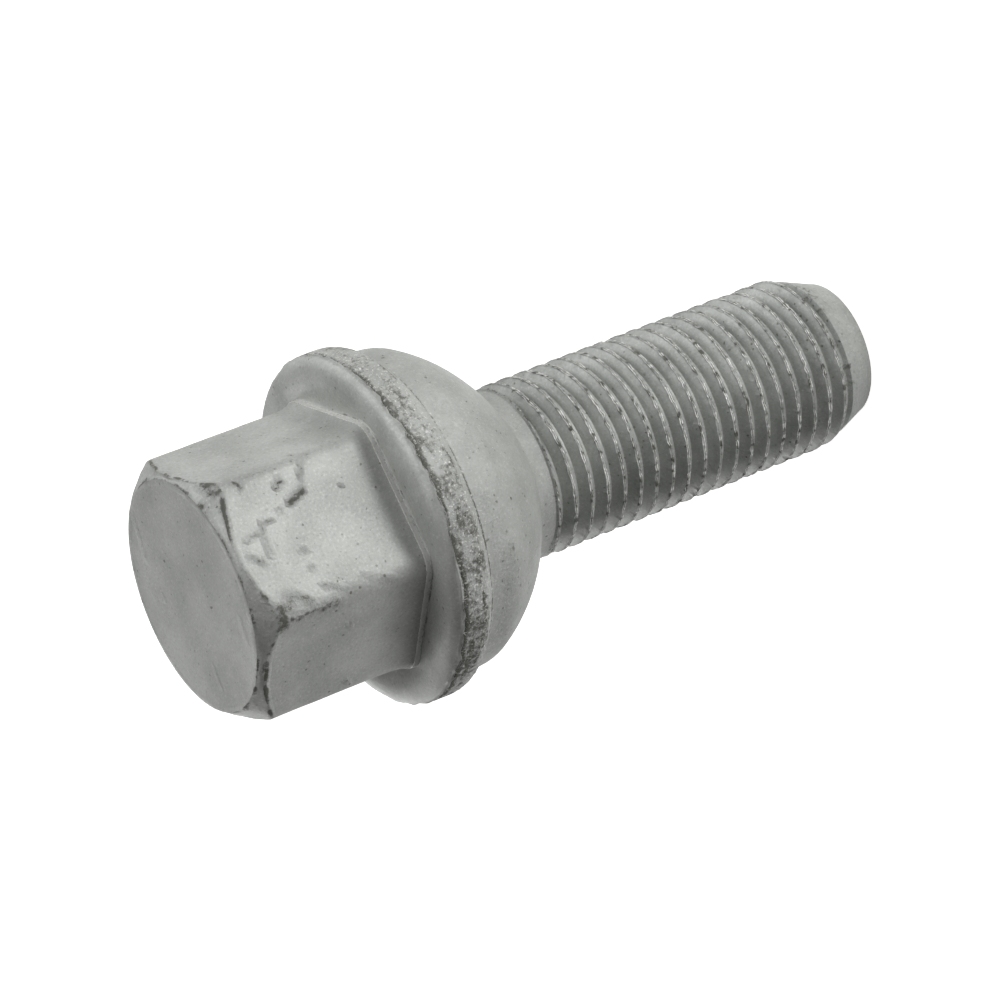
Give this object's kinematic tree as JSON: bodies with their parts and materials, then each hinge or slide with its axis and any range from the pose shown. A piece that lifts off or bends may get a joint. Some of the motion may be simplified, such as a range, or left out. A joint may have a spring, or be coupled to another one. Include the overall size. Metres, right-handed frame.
{
  "type": "wheel bolt",
  "caption": "Metric wheel bolt forged in one piece: fine rolled thread with a tapered tip, plain neck, spherical ball seat, round flange and chamfered hexagon head, in matt grey coating",
  "frame": {"origin": "centre of the flat tip face that the bolt stands on", "axes": "+Z runs along the bolt from the threaded tip to the hexagon's end face; +X is the outward normal of one wrench flat; +Y completes a right-handed frame"},
  "size_m": [0.0278, 0.0278, 0.0589],
  "materials": {
    "coated_steel": "matt grey zinc-flake coating on forged steel, scuffed and dirty along the edges"
  },
  "bodies": {
    "root": {"wheel_bolt": "coated_steel"}
  },
  "joints": []
}
